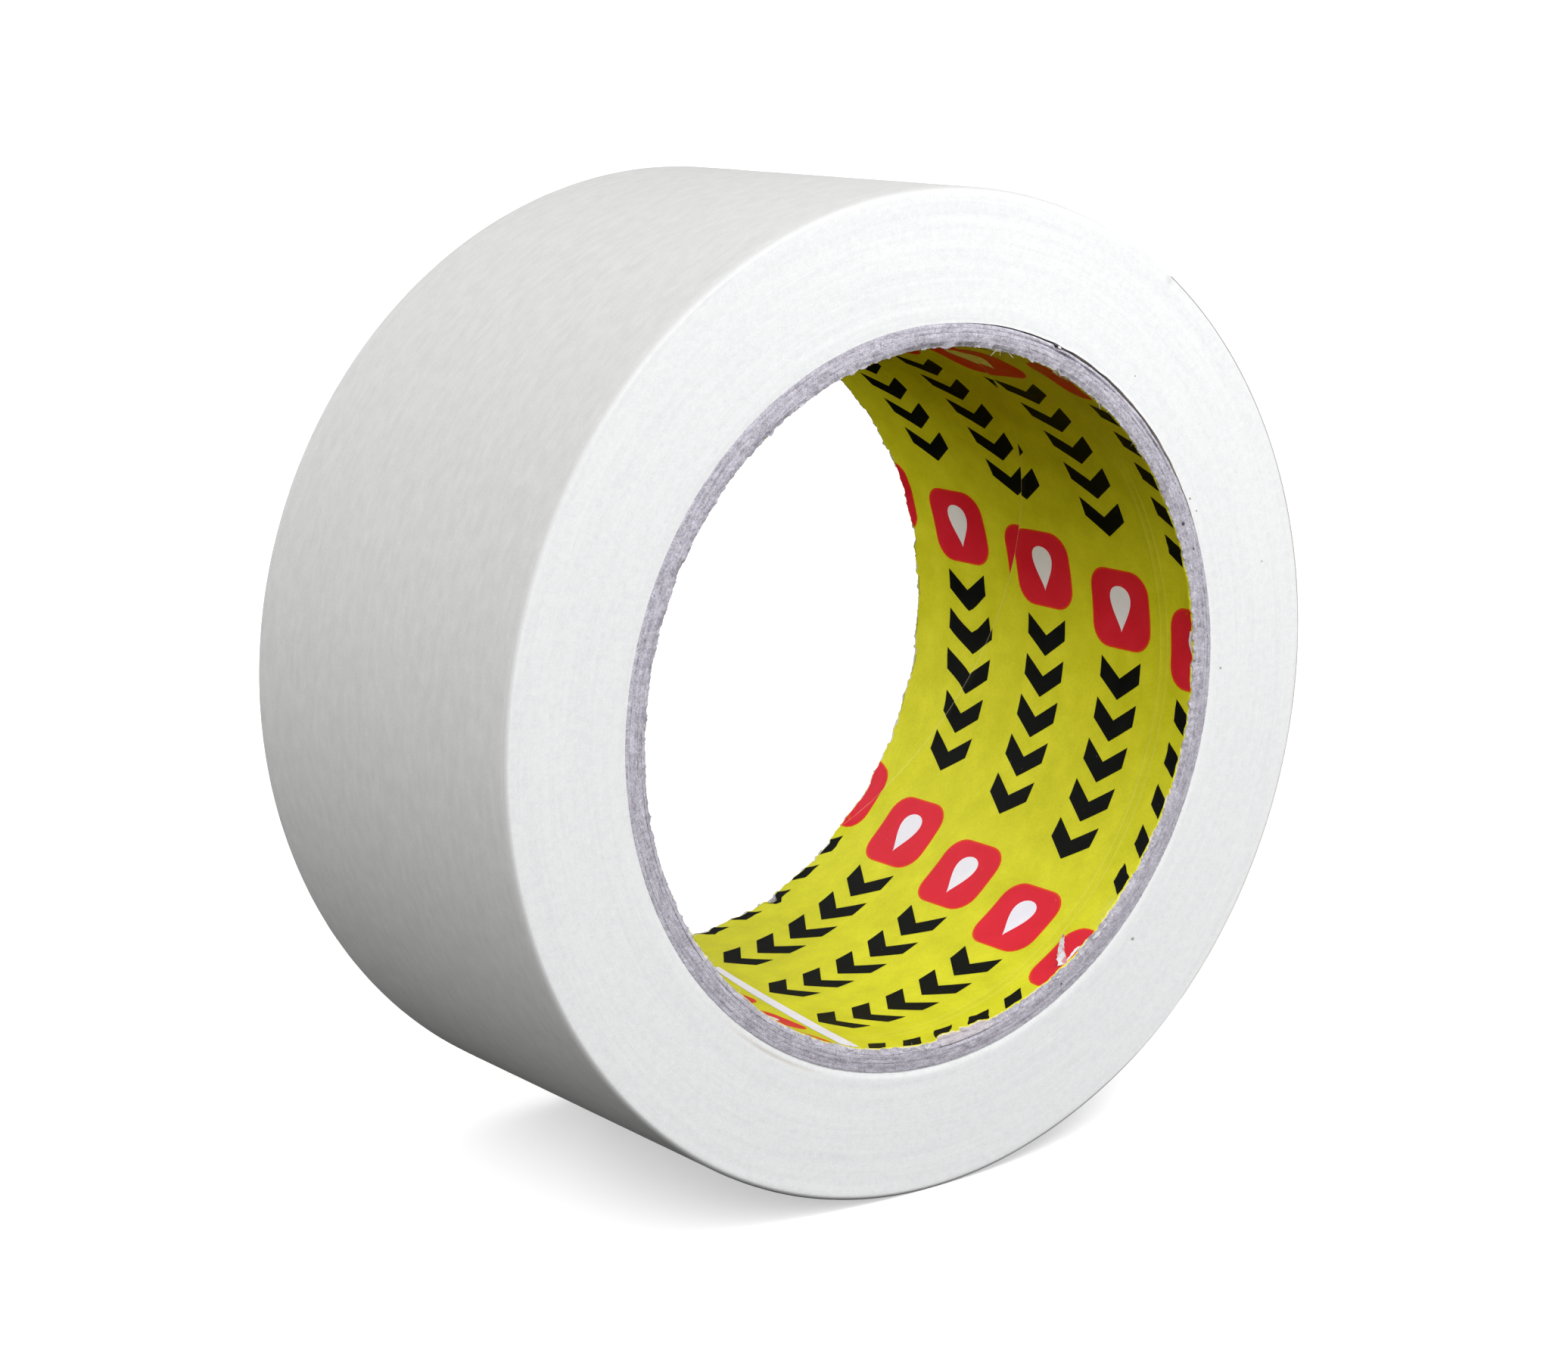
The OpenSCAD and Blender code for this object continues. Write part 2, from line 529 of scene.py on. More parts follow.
def worn_print(name, colour, deeper, wear, specular=0.22):
    """Ink on the liner: satin, a little uneven, with pale rubbed flecks and creases."""
    s = Shader(name, roughness=0.5, specular=specular)
    base = s.mix(paper_grain(s, 0.44, 0.6)[1], deeper, colour)
    flecks = s.between(s.noise(s.scaled(1.0, 2.2, 1.0), 1500, 3, 0.7), 0.70, 0.78, 0.0, wear)
    base = s.mix(flecks, base, srgb(238, 236, 206))
    s.colour(s.mix(s.maths("MULTIPLY", s.value("crease"), 0.55), base, srgb(226, 220, 176)))
    return s.material


def liner_paper():
    """Yellow printed paper. Its torn edges show white fibre, and it is pale along creases."""
    s = Shader("liner_paper", roughness=0.42, specular=0.22)
    grain, tone = paper_grain(s, 0.36, 0.52)
    base = s.mix(tone, srgb(203, 203, 26), srgb(225, 224, 44))
    base = s.mix(s.value("crease"), base, srgb(236, 232, 136))
    torn = s.maths("ADD", s.value("torn"), s.between(grain, 0.3, 0.7, -0.35, 0.35))
    s.colour(s.mix(s.between(torn, 0.45, 0.7), base, srgb(216, 208, 186)))
    return s.material


def torn_fibre(name="torn_fibre", ink=0.0):
    """White paper fibre, where the core was torn as it was cut. ink is how much red print is left on it."""
    s = Shader(name, roughness=0.9, specular=0.15)
    grain = s.noise(s.place, 4000, 3)
    base = s.mix(s.between(grain, 0.3, 0.7), srgb(222, 219, 226), srgb(246, 244, 248))
    print_left = s.between(s.noise(s.place, 1400, 3), 0.5, 0.6, 0.0, ink)
    s.colour(s.mix(print_left, base, srgb(212, 60, 78)))
    s.bump(grain, 0.03)
    return s.material


CREPE = crepe_paper()
EDGE = tape_edge()
ADHESIVE = adhesive()
BOARD = grey_board()
LINER = liner_paper()
FIBRE = torn_fibre()
SHRED = torn_fibre("torn_print", 0.65)
INK_RED = worn_print("ink_red", srgb(226, 34, 58), srgb(214, 24, 46), 0.35)
INK_ORANGE = worn_print("ink_orange", srgb(232, 74, 22), srgb(222, 64, 18), 0.3)
INK_BLACK = worn_print("ink_black", srgb(17, 20, 18), srgb(9, 11, 10), 0.2, 0.05)
INK_WHITE = worn_print("ink_white", srgb(243, 243, 255), srgb(234, 233, 253), 0.0)


# -------- tape
def spiral_radius(theta):
    """Radius of the outermost turn. It grows by one layer over the half turn past the free end."""
    past = np.radians(theta - END - FULL / 2)
    shift = LAYER / 2
    arc = shift * np.cos(past) + np.sqrt((TAPE_R - shift) ** 2 - (shift * np.sin(past)) ** 2)
    return np.where((theta - END) % FULL < FULL / 2, arc, TAPE_R)


def start_radius(theta):
    """Inner radius of the wound tape, which stands off the core beside the tape's inner end."""
    rise = START_GAP * (START_GAP + 2 * TAPE_IN_R)
    reach = 2 * TAPE_IN_R * (1 - math.cos(math.radians(START_REACH))) + 2 * START_GAP
    offset = rise / reach
    radius = TAPE_IN_R + START_GAP - offset
    angle = np.radians(theta - START_ANGLE)
    circle = offset * np.cos(angle) + np.sqrt(radius**2 - (offset * np.sin(angle)) ** 2)
    standing = smooth((circle - TAPE_IN_R) / START_GAP)
    return np.maximum(circle, TAPE_IN_R) + 0.04 * standing * waves(41, 30, theta, 120)


def crepe_relief(theta, y):
    """How far the outer surface stands above or below its true radius."""
    coarse = waves(11, 30, theta, 90, y, 0.12)
    fine = waves(12, 40, theta, 240, y, 0.45)
    return 0.006 * coarse + 0.003 * fine


def face_relief(theta, radius, seed):
    """How far each turn's cut edge stands in from the face: turns wander a little along the axis."""
    wander = waves(seed, 40, theta, 3, radius, 1.3)
    fine = waves(seed + 1, 30, theta, 40, radius, 1.2)
    return 0.03 + 0.010 * wander + 0.005 * fine


def first_turn_marks(theta, radius):
    """The faint groove where the first turn's adhesive has stained, at the lower left of the core."""
    beside = turned(theta - STAIN_ANGLE)
    return smooth(1 - np.abs(beside) / 17) * bump_at(radius, CORE_R + 0.75 + 0.012 * beside, 0.16)


def roll_angles():
    """Angles of the roll's cross-sections, and 1 for those that lie under the free end, or 0."""
    per_degree = 2
    bare = np.linspace(END, ROOT + FULL, int(round((ROOT + FULL - END) * per_degree)) + 1)
    under = np.linspace(ROOT + FULL, END + FULL, int(round((END - ROOT) * per_degree)) + 1)
    covered = np.repeat([0.0, 1.0], [len(bare), len(under)])
    return np.concatenate([bare, under])[:, None], covered[:, None]


def roll_faces(theta, inner, edge):
    """Radii across the roll's faces from inner to edge, y of the front and the back, and the groove."""
    # steps are closer near both edges
    even = np.linspace(0, 1, 34)
    share = (smooth(even) + even) / 2
    radii = inner + (edge - inner) * share
    lifted = -0.05 * bump_at(turned(theta - START_ANGLE), 0, START_REACH * 0.8) * (share == 0)
    groove = first_turn_marks(theta, radii)
    lip = 0.16 * (0.2 + 0.8 * bump_at(turned(theta - LIP_ANGLE), 0, 45))
    lip = lip * smooth(1 - (radii - TAPE_IN_R) / 0.75)
    front = -HALF + face_relief(theta, radii, 21) + lip + lifted + 0.05 * groove
    return radii, front, HALF - face_relief(theta, radii, 31) - lip, groove


def tape_roll():
    """All the turns that stay wound, in one closed piece."""
    theta, covered = roll_angles()
    outer = np.where(covered > 0, BELOW_R, spiral_radius(theta))
    inner = start_radius(theta)
    beside = np.minimum(theta - END, ROOT + FULL - theta)
    rim = np.where(covered > 0, 0.03, 0.1 + 0.45 * smooth(beside / 25))
    face_r, front, back, groove = roll_faces(theta, inner, outer - rim)

    # the rim is a quarter round
    turn = np.radians(np.linspace(0, 90, 5))[1:-1]
    rim_r = outer - rim + rim * np.sin(turn)
    rim_front = front[:, -1:] + rim * (1 - np.cos(turn))
    rim_back = back[:, -1:] - rim * (1 - np.cos(turn))

    rows = np.linspace(-HALF + 0.5, HALF - 0.5, 46)
    side_r = outer + np.where(covered > 0, 0, crepe_relief(theta, rows))
    side_y = np.broadcast_to(rows, side_r.shape)
    wall_y = np.broadcast_to([[HALF / 2, 0, -HALF / 2]], (len(theta), 3))
    wall_r = np.broadcast_to(inner, wall_y.shape)

    radii = np.hstack([face_r, rim_r, side_r, rim_r[:, ::-1], face_r[:, ::-1], wall_r])
    along = np.hstack([front, rim_front, side_y, rim_back[:, ::-1], back[:, ::-1], wall_y])
    face, edge, side = face_r.shape[1], rim_r.shape[1], side_r.shape[1]
    parts = [1] * (face + edge - 1) + [0] * (side + 1) + [1] * (edge + face - 1) + [2] * 4
    stain = np.zeros(radii.shape)
    stain[:, :face] = 0.55 * groove
    fade = np.zeros(radii.shape)
    for step, amount in enumerate((0.5, 0.85, 1.0)):
        fade[:, [face + step, -face - 4 - step]] = amount * (1 - covered)
    fade[:, face + edge : -face - edge - 3] = 1
    values = {"stain": stain, "rim": fade}
    spots = polar(radii, theta, along)
    made = grid_mesh("tape_roll", spots, [CREPE, EDGE, ADHESIVE], closed_u=True, parts=parts, values=values)
    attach(made, "roll")
    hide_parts("tape_wound")


def tail_mesh(name, start, stop, ragged=False):
    """A stretch of the free end as a thin closed strip: crepe outside, adhesive inside."""
    columns = int(round((stop - start) * 4)) + 1
    share = np.linspace(0, 1, columns)[:, None]
    rim = 0.1
    edge = np.array([0, rim * 0.3, rim])
    ys = np.concatenate([-HALF + edge, np.linspace(-HALF + 0.6, HALF - 0.6, 56), HALF - edge[::-1]])
    dips = np.zeros(len(ys))
    dips[[0, -1]] = rim
    dips[[1, -2]] = rim * 0.3
    tear = 0.22 * np.abs(waves(51, 30, 0, 1, ys, 0.9)) if ragged else np.zeros(len(ys))
    finish = stop - np.degrees(tear / TAPE_R)
    theta = start + (finish - start) * share
    edge_in = 0.03 + 0.01 * waves(52, 12, theta, 30)
    y = np.clip(ys, -HALF + edge_in, HALF - edge_in)
    outer = TAPE_R + crepe_relief(theta, y) - dips
    back = [len(ys) - 1, *reversed(range(3, len(ys) - 3, 6)), 0]
    inner = np.full((columns, len(back)), TAIL_IN_R)
    spots = polar(np.hstack([outer, inner]), np.hstack([theta, theta[:, back]]), np.hstack([y, y[:, back]]))
    parts = [0] * (len(ys) - 1) + [1] + [2] * (len(back) - 1) + [1]
    return grid_mesh(name, spots, [CREPE, EDGE, ADHESIVE], parts=parts, sharp=50)


def tape_tail():
    """The free end that peels off the roll, in pieces that meet at its creases. Only the tip is attached to a
    body, that of the last joint's child.
    """
    joints = frame["joints"]
    for number, joint in enumerate(joints):
        before = ROOT if number == 0 else HINGES[number] - STRIP / 2
        after = HINGES[number] + STRIP / 2
        made = tail_mesh(f"tape_tail_{number:02d}", before, after)
        start = Vector(polar(TAPE_R, before, 0) * MM)
        finish = Vector(polar(TAPE_R, after, 0) * MM)
        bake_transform(made)
        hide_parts(f"tape_end_{number + 1:02d}")
    tip = tail_mesh("tape_tail_tip", END - STRIP / 2, END, ragged=True)
    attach(tip, joints[-1]["child"])
    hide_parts(f"tape_end_{len(joints):02d}")


# -------- core
def peeled(theta):
    """1 where the liner's front edge was pulled away and bare board shows, at the bottom."""
    return smooth((7.0 - apart(theta, PEELED_ANGLE)) / 3.5)


def front_tear(theta):
    """How far the liner's torn edge lies in from the front face."""
    ragged = 1 + 0.25 * waves(69, 30, theta, 200)
    return tears(theta, FRONT_TEARS) + PEELED_DEPTH * peeled(theta) * ragged


def back_tear(theta):
    """The same at the back, which is more ragged, with one deep notch that has steep sides."""
    notch = smooth((1.35 - apart(theta, NOTCH_ANGLE)) / 0.45)
    return tears(theta, BACK_TEARS) + NOTCH_DEPTH * notch


def burr(theta, seed):
    """How far torn board stands into the bore at the core's cut edge."""
    coarse = waves(seed, 40, theta, 160)
    fine = waves(seed + 1, 60, theta, 420)
    return BURR_DEPTH * np.clip(coarse, 0, 2) + 0.1 * np.abs(fine)


def ply_split(theta):
    """How open the last two plies stand at the front, in two places at the upper right."""
    near = sum(smooth(1.3 - apart(theta, place) / width) for place, width in SPLITS)
    return near * np.clip(0.7 + 0.5 * waves(98, 20, theta, 60), 0, 1.4)


def ply_dips(number, theta, share, radii):
    """How far a ply's cut faces lie in from the roll's faces. share is 0 at its inside, 1 at its outside."""
    def rough(level, seed):
        return level + slack + PLY_ROUGHNESS * waves(seed + number, 60, theta, 500, radii, 1.6) + slow

    slack = 0.014 * (2 * np.abs(share - 0.5)) ** 4
    slow = 0.015 * waves(90 + number, 12, theta, 9)
    front = rough(PLY_LEVELS[number - 1], 70)
    back = rough(PLY_LEVELS[-number], 80)
    if number <= 2:
        near = (1 - share) if number == 1 else (1 - share) * 0.35
        front = front + near * 0.8 * front_tear(theta)
        back = back + near * 0.9 * back_tear(theta)
    if number == PLIES:
        chip = bump_at(turned(theta - CHIP_ANGLE), 0, 0.6) * smooth((share - 0.1) / 0.7)
        worn = smooth(1.2 - apart(theta, START_ANGLE) / START_REACH) * smooth((share - 0.6) / 0.4)
        front = front + 0.9 * chip + 0.16 * worn * (1 + 0.5 * waves(99, 30, theta, 100))
        front = front + 0.3 * ply_split(theta) * smooth(1 - share / 0.25)
    if number == PLIES - 1:
        front = front + 0.3 * ply_split(theta) * smooth((share - 0.75) / 0.25)
    return np.clip(front, 0.0, None), np.clip(back, 0.0, None)


def ply_ring(number):
    """One board ply: its cut faces are fibrous and a little lower at its edges than between them."""
    inner, outer = PLY_RADII[number - 1]
    theta = np.linspace(0, FULL, 1080, endpoint=False)[:, None]
    share = np.array([0, 0.12, 0.32, 0.55, 0.78, 0.92, 1.0])
    radii = inner + (outer - inner) * share
    front, back = ply_dips(number, theta, share, radii)
    front_r = np.broadcast_to(radii, front.shape).copy()
    back_r = front_r.copy()
    if number == 1:
        front_r[:, :1] -= burr(theta, 161)
        back_r[:, :1] -= burr(theta, 171)
    wall_y = np.broadcast_to([[HALF - 0.9, -HALF + 0.9]], (len(theta), 2))
    wall_r = np.full(wall_y.shape, inner)
    spots = polar(
        np.hstack([front_r, back_r[:, ::-1], wall_r]),
        theta,
        np.hstack([front - HALF, (HALF - back)[:, ::-1], wall_y]),
    )
    bare = np.zeros(spots.shape[:2])
    if number == 1:
        bare += 0.7 * peeled(theta)
    # painted shade: none at the upper left, growing to its most at the lower right
    painted_shade = 0.11 - 0.11 * np.cos(np.radians(theta - 120)) + np.zeros(spots.shape[:2])
    values = {"bare": bare, "painted_shade": painted_shade}
    made = grid_mesh(f"ply_ring_{number}", spots, [BOARD], closed_u=True, values=values, sharp=50)
    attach(made, "roll")
    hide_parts(f"core_ply_{number}")


def past_seam(theta, y):
    """How far beyond the liner's lap a place lies, going round the bore, in millimetres."""
    seam = SEAM_FRONT + (SEAM_BACK - SEAM_FRONT) * (y + HALF) / (2 * HALF)
    return turned(theta - seam) * math.radians(1) * BORE_R


def liner_height(theta, y):
    """How far the liner's surface stands into the bore from its true radius."""
    past = past_seam(theta, y)
    lap = np.where(past < 0, LAP_STEP * smooth(1 + past / LAP_SLOPE), 0)
    ridges = sum(bump_at(y, line + 0.25 * np.sin(np.radians(theta)), 0.09) for line in SCORE_LINES)
    return lap + 0.03 * ridges + 0.02 * waves(65, 20, theta, 10, y, 0.05)


def cut_line(work, spot, normal, clear_low=False, clear_high=False):
    """Cuts a flat mesh along a line, and can clear away what lies on either side of it."""
    everything = work.verts[:] + work.edges[:] + work.faces[:]
    plane = {"plane_co": spot, "plane_no": normal, "clear_inner": clear_low, "clear_outer": clear_high}
    bmesh.ops.bisect_plane(work, geom=everything, dist=1e-5, **plane)


def cut_across(work, y, **clear):
    """Cuts a flat mesh at a place along the roll's axis."""
    cut_line(work, Vector((0, y, 0)), Vector((0, 1, 0)), **clear)


def cut_beside_seam(work, past, **clear):
    """Cuts a flat mesh along a line beside the lap, past millimetres beyond it."""
    run = math.radians(SEAM_BACK - SEAM_FRONT) * BORE_R
    normal = Vector((2 * HALF, -run, 0)).normalized()
    start = Vector((math.radians(SEAM_FRONT) * BORE_R, -HALF, 0))
    cut_line(work, start + Vector((past, 0, 0)), normal, **clear)


def unrolled(flat):
    """The angle and y of points on the flat liner, which are (arc length, y, anything)."""
    return np.degrees(flat[:, 0] / BORE_R), flat[:, 1]


def onto_bore(flat, lift):
    """Flat points, wrapped onto the bore. lift is how far inside the liner."""
    theta, y = unrolled(flat)
    ahead, behind = y + HALF, HALF - y
    moved = y + smooth(1 - ahead / TEAR_FADE) * (0.05 + front_tear(theta))
    moved = moved - smooth(1 - behind / TEAR_FADE) * (0.05 + back_tear(theta))
    rounded = smooth(1 - ahead / 0.16) + smooth(1 - behind / 0.16)
    curl = 0.09 * np.clip(waves(67, 30, theta, 60), 0, 2)
    curl = curl * (smooth(1 - ahead / 1.2) + smooth(1 - behind / 1.6))
    height = (liner_height(theta, y) + curl) * (1 - rounded) - EDGE_ROUND * rounded + lift
    return polar(BORE_R - height, theta, moved)


def liner():
    """The printed paper that lines the bore, as one closed sheet with torn edges and a lap."""
    columns = 1440
    inset = np.array([0, 0.08, 0.18, 0.32, 0.6])
    body = np.linspace(-HALF + 1.2, HALF - 1.2, 38)
    rows = np.sort(np.concatenate([-HALF + inset, body, SCORE_CUTS, HALF - inset]))
    reach = math.pi * BORE_R
    across = np.linspace(-reach, reach, columns + 1)
    flat = np.stack(np.meshgrid(across, rows, [0.0], indexing="ij"), axis=-1).reshape(-1, 3)
    work = flat_work(flat, grid_faces(columns + 1, len(rows)).reshape(-1, 4).tolist())
    for past in SEAM_CUTS:
        cut_beside_seam(work, past)
    flat, faces = taken_out(work)
    mesh = bpy.data.meshes.new("liner_sheet")
    mesh.from_pydata((onto_bore(flat, 0.0) * MM).tolist(), [], faces)
    theta, y = unrolled(flat)
    fringe = 0.1 + 0.05 * waves(66, 20, theta, 60) + 0.16 * (y > 0)
    torn = smooth(1 - (HALF - np.abs(y)) / (2 * fringe))
    store_values(mesh, {"torn": torn, "crease": creases(flat)})
    close_liner(mesh)
    made = finish_mesh("liner_paper", mesh, [LINER], sharp=60)
    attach(made, "roll")
    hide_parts("core_liner")


def creases(flat):
    """How pale the paper is worn at flat points: along the lap's edge, and a little at the score lines."""
    theta, y = unrolled(flat)
    scored = sum(bump_at(y, line, 0.1) for line in SCORE_LINES)
    return 0.8 * bump_at(past_seam(theta, y), -0.03, 0.1) + 0.22 * scored


def jump_share(flat):
    """How far the print past the lap is moved, from 0 to 1: not at all close to the lap's back half."""
    theta, y = unrolled(flat)
    return np.maximum(ramp(theta, *JUMP_ANGLES), ramp(past_seam(theta, y), *JUMP_BESIDE))


def close_liner(mesh):
    """Joins the sheet's two ends, and adds the side that is glued to the first ply."""
    work = bmesh.new()
    work.from_mesh(mesh)
    bmesh.ops.remove_doubles(work, verts=work.verts, dist=2e-6)
    rim = [e for e in work.edges if e.is_boundary]
    out = bmesh.ops.extrude_edge_only(work, edges=rim)["geom"]
    new_edges = [g for g in out if isinstance(g, bmesh.types.BMEdge)]
    for vert in [g for g in out if isinstance(g, bmesh.types.BMVert)]:
        stretch = LINER_R * MM / math.hypot(vert.co.x, vert.co.z)
        vert.co.x *= stretch
        vert.co.z *= stretch
    bmesh.ops.bridge_loops(work, edges=[e for e in new_edges if e.is_boundary])
    work.to_mesh(mesh)
    work.free()


# -------- print
def outline_mesh(outline):
    """A flat shape cut into strips narrow enough to follow the bore. Returns its points and faces."""
    work = bmesh.new()
    work.faces.new([work.verts.new((x, y, 0)) for x, y in outline])
    for axis, width in ((0, PRINT_STEP), (1, 2 * PRINT_STEP)):
        places = [spot[axis] for spot in outline]
        normal = Vector((1 - axis, axis, 0))
        for place in np.arange(min(places) + width / 2, max(places), width):
            cut_line(work, normal * place, normal)
    return taken_out(work)


def rounded_square(side, corner, steps=6):
    """A square with rounded corners."""
    half = side / 2 - corner
    shape = []
    for quarter in range(4):
        turn = math.radians(90 * quarter)
        x = half * math.sqrt(2) * math.cos(turn + math.pi / 4)
        y = half * math.sqrt(2) * math.sin(turn + math.pi / 4)
        for n in range(steps + 1):
            angle = turn + math.radians(90 * n / steps)
            shape.append((x + corner * math.cos(angle), y + corner * math.sin(angle)))
    return shape


def drop(height, width, steps=28):
    """A paint drop, its point towards -x."""
    shape = []
    for n in range(steps):
        angle = 2 * math.pi * n / steps
        x = -math.cos(angle)
        y = math.sin(angle) * math.sin(angle / 2) ** 1.6
        shape.append((x * height / 2, y * width / 1.45))
    return shape


def chevron(length, height, stroke):
    """A bold arrowhead pointing along -x."""
    x, y = length / 2, height / 2
    return [(-x, 0), (x - stroke, y), (x, y), (-x + stroke, 0), (x, -y), (x - stroke, -y)]


def joined(pieces):
    """Several pairs of points and faces as one pair."""
    points, faces = np.zeros((0, 3)), []
    for more, corners in pieces:
        faces += [[n + len(points) for n in face] for face in corners]
        points = np.vstack([points, more])
    return points, faces


def stamp(shape, places):
    """Copies a shape's points and faces to each place on the flat liner."""
    points, faces = shape
    return joined([(points + np.array([math.radians(a) * BORE_R, y, 0]), faces) for a, y in places])


def marks():
    """(angle, y) of each printed mark."""
    return [
        (turned(MARK_ANGLE + MARK_TURN * k + MARK_STEP_ANGLE * m), MARK_Y + MARK_STEP_Y * m)
        for k in range(6)
        for m in range(-1, 4)
    ]


def chevron_places():
    """(angle, y) of each chevron: a row of them below every mark."""
    pitch = math.degrees(CHEVRON_PITCH / BORE_R)
    turns = [CHEVRON_ANGLE + (n - (CHEVRONS - 1) / 2) * pitch for n in range(CHEVRONS)]
    return [(theta + turn, y) for theta, y in marks() for turn in turns]


def taken_out(work):
    """The points and faces of a bmesh, which is then freed."""
    work.verts.index_update()
    points = np.array([v.co for v in work.verts]).reshape(-1, 3)
    faces = [[v.index for v in f.verts] for f in work.faces]
    work.free()
    return points, faces


def flat_work(points, faces):
    """Flat points and faces as a mesh that can be cut."""
    mesh = bpy.data.meshes.new("flat")
    mesh.from_pydata(points.tolist(), [], faces)
    work = bmesh.new()
    work.from_mesh(mesh)
    bpy.data.meshes.remove(mesh)
    return work


def ink(name, material, points, faces, lift):
    """Print on the liner: cut at the paper's edges and along its lap, where the pattern jumps a little."""
    beyond = points + jump_share(points)[:, None] * np.array([*PRINT_JUMP, 0])
    sides = []
    for low_side in (True, False):
        work = flat_work(points if low_side else beyond, faces)
        cut_across(work, -HALF + 0.22, clear_low=True)
        cut_across(work, HALF - 0.3, clear_high=True)
        for y in SCORE_CUTS:
            cut_across(work, y)
        cut_beside_seam(work, 0.0, clear_low=not low_side, clear_high=low_side)
        for past in SEAM_CUTS:
            if (past < 0) == low_side and past != 0:
                cut_beside_seam(work, past)
        sides.append(taken_out(work))
    flat, faces = joined(sides)
    spots = np.vstack([onto_bore(flat, lift), onto_bore(flat, lift - FILM)])
    add_film_mesh(name, material, spots, faces, {"crease": np.tile(creases(flat), 2)})


def add_film_mesh(name, material, spots, faces, values):
    """A thin closed film from its inner points, then as many outer ones, and the inner faces."""
    count = len(spots) // 2
    edges = dict.fromkeys((a, b) for face in faces for a, b in zip(face, face[1:] + face[:1]))
    sides = [[a, b, b + count, a + count] for a, b in edges if (b, a) not in edges]
    under = [[n + count for n in reversed(face)] for face in faces]
    mesh = bpy.data.meshes.new(name)
    mesh.from_pydata((spots * MM).tolist(), [], faces + under + sides)
    store_values(mesh, values)
    made = finish_mesh(name, mesh, [material])
    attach(made, "roll")


def blank_band():
    """The strip of the liner that was never printed, as a flat outline."""
    low, high = math.radians(-107.5) * BORE_R, math.radians(-94.2) * BORE_R
    wide, narrow = 1.3, 0.5
    return [(low - wide, -HALF), (low + wide, -HALF), (high + narrow, 12.0), (high - narrow, 12.0)]


def print_pattern():
    """Generic print: red tiles with a white drop, and rows of black arrowheads."""
    layers = (
        ("print_tile_rims", INK_ORANGE, rounded_square(side=9.7, corner=2.7), marks(), 0.014),
        ("print_tiles", INK_RED, rounded_square(side=9.3, corner=2.6), marks(), 0.026),
        ("print_drops", INK_WHITE, drop(height=5.6, width=3.6), marks(), 0.038),
        ("print_arrows", INK_BLACK, chevron(length=4.9, height=6.6, stroke=2.55), chevron_places(), 0.02),
    )
    for name, material, outline, places, lift in layers:
        ink(name, material, *stamp(outline_mesh(outline), places), lift)
    ink("print_blank", INK_WHITE, *outline_mesh(blank_band()), lift=0.045)


# -------- loose fibres on the core's cut edges
def strand(start, direction, length, curl, rng):
    """Rings of points along a short curved fibre that tapers at both ends."""
    side = direction.cross(Vector((rng.normal(), rng.normal(), rng.normal()))).normalized()
    up = direction.cross(side)
    rings = []
    for n in range(HAIR_RINGS):
        t = n / (HAIR_RINGS - 1)
        centre = start + direction * (length * t) + side * (curl * t * t)
        centre = centre + up * (0.3 * curl * math.sin(3 * t))
        reach = HAIR_RADIUS * (0.25 + 0.75 * math.sin(math.pi * min(max(t, 0.08), 0.96)))
        for k in range(4):
            angle = math.pi / 2 * k
            rings.append(centre + side * (reach * math.cos(angle)) + up * (reach * math.sin(angle)))
    return rings


def strand_faces(base):
    """The faces of a strand whose points are numbered from base."""
    last = base + 4 * (HAIR_RINGS - 1)
    sides = [(ring + k, ring + (k + 1) % 4) for ring in range(base, last, 4) for k in range(4)]
    ends = [[base + 3, base + 2, base + 1, base], [last, last + 1, last + 2, last + 3]]
    return [[a, b, b + 4, a + 4] for a, b in sides] + ends


def loose_fibre(name, spots, faces):
    """Many small closed pieces of white fibre as one object on the core."""
    mesh = bpy.data.meshes.new(name)
    mesh.from_pydata([tuple(p * MM) for p in spots], [], faces)
    made = finish_mesh(name, mesh, [FIBRE])
    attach(made, "roll")


def out_and_round(theta):
    """The directions away from the roll's axis and round the roll, at an angle."""
    outward = Vector(polar(1.0, theta, 0.0))
    return outward, Vector((-outward.z, 0, outward.x))


def fibres():
    """Fine hairs of paper along the inner edge of the core, thickest where it was torn."""
    rng = np.random.default_rng(101)
    spots, faces = [], []
    for centre, spread, count in HAIR_GROUPS:
        for _ in range(count):
            theta = centre + rng.uniform(-spread, spread)
            radius = LINER_R + rng.uniform(-0.12, 0.5)
            start = Vector(polar(radius, theta, -HALF + rng.uniform(0.0, 0.15)))
            outward, tangent = out_and_round(theta)
            tangent = tangent * rng.choice([-1, 1])
            direction = tangent * rng.uniform(0.3, 1) - outward * rng.uniform(0, 0.9)
            direction = (direction + Vector((0, -rng.uniform(0.05, 0.5), 0))).normalized()
            faces += strand_faces(len(spots))
            spots += strand(start, direction, rng.uniform(0.4, 1.3), rng.uniform(-0.5, 0.5), rng)
    loose_fibre("core_fibres", spots, faces)


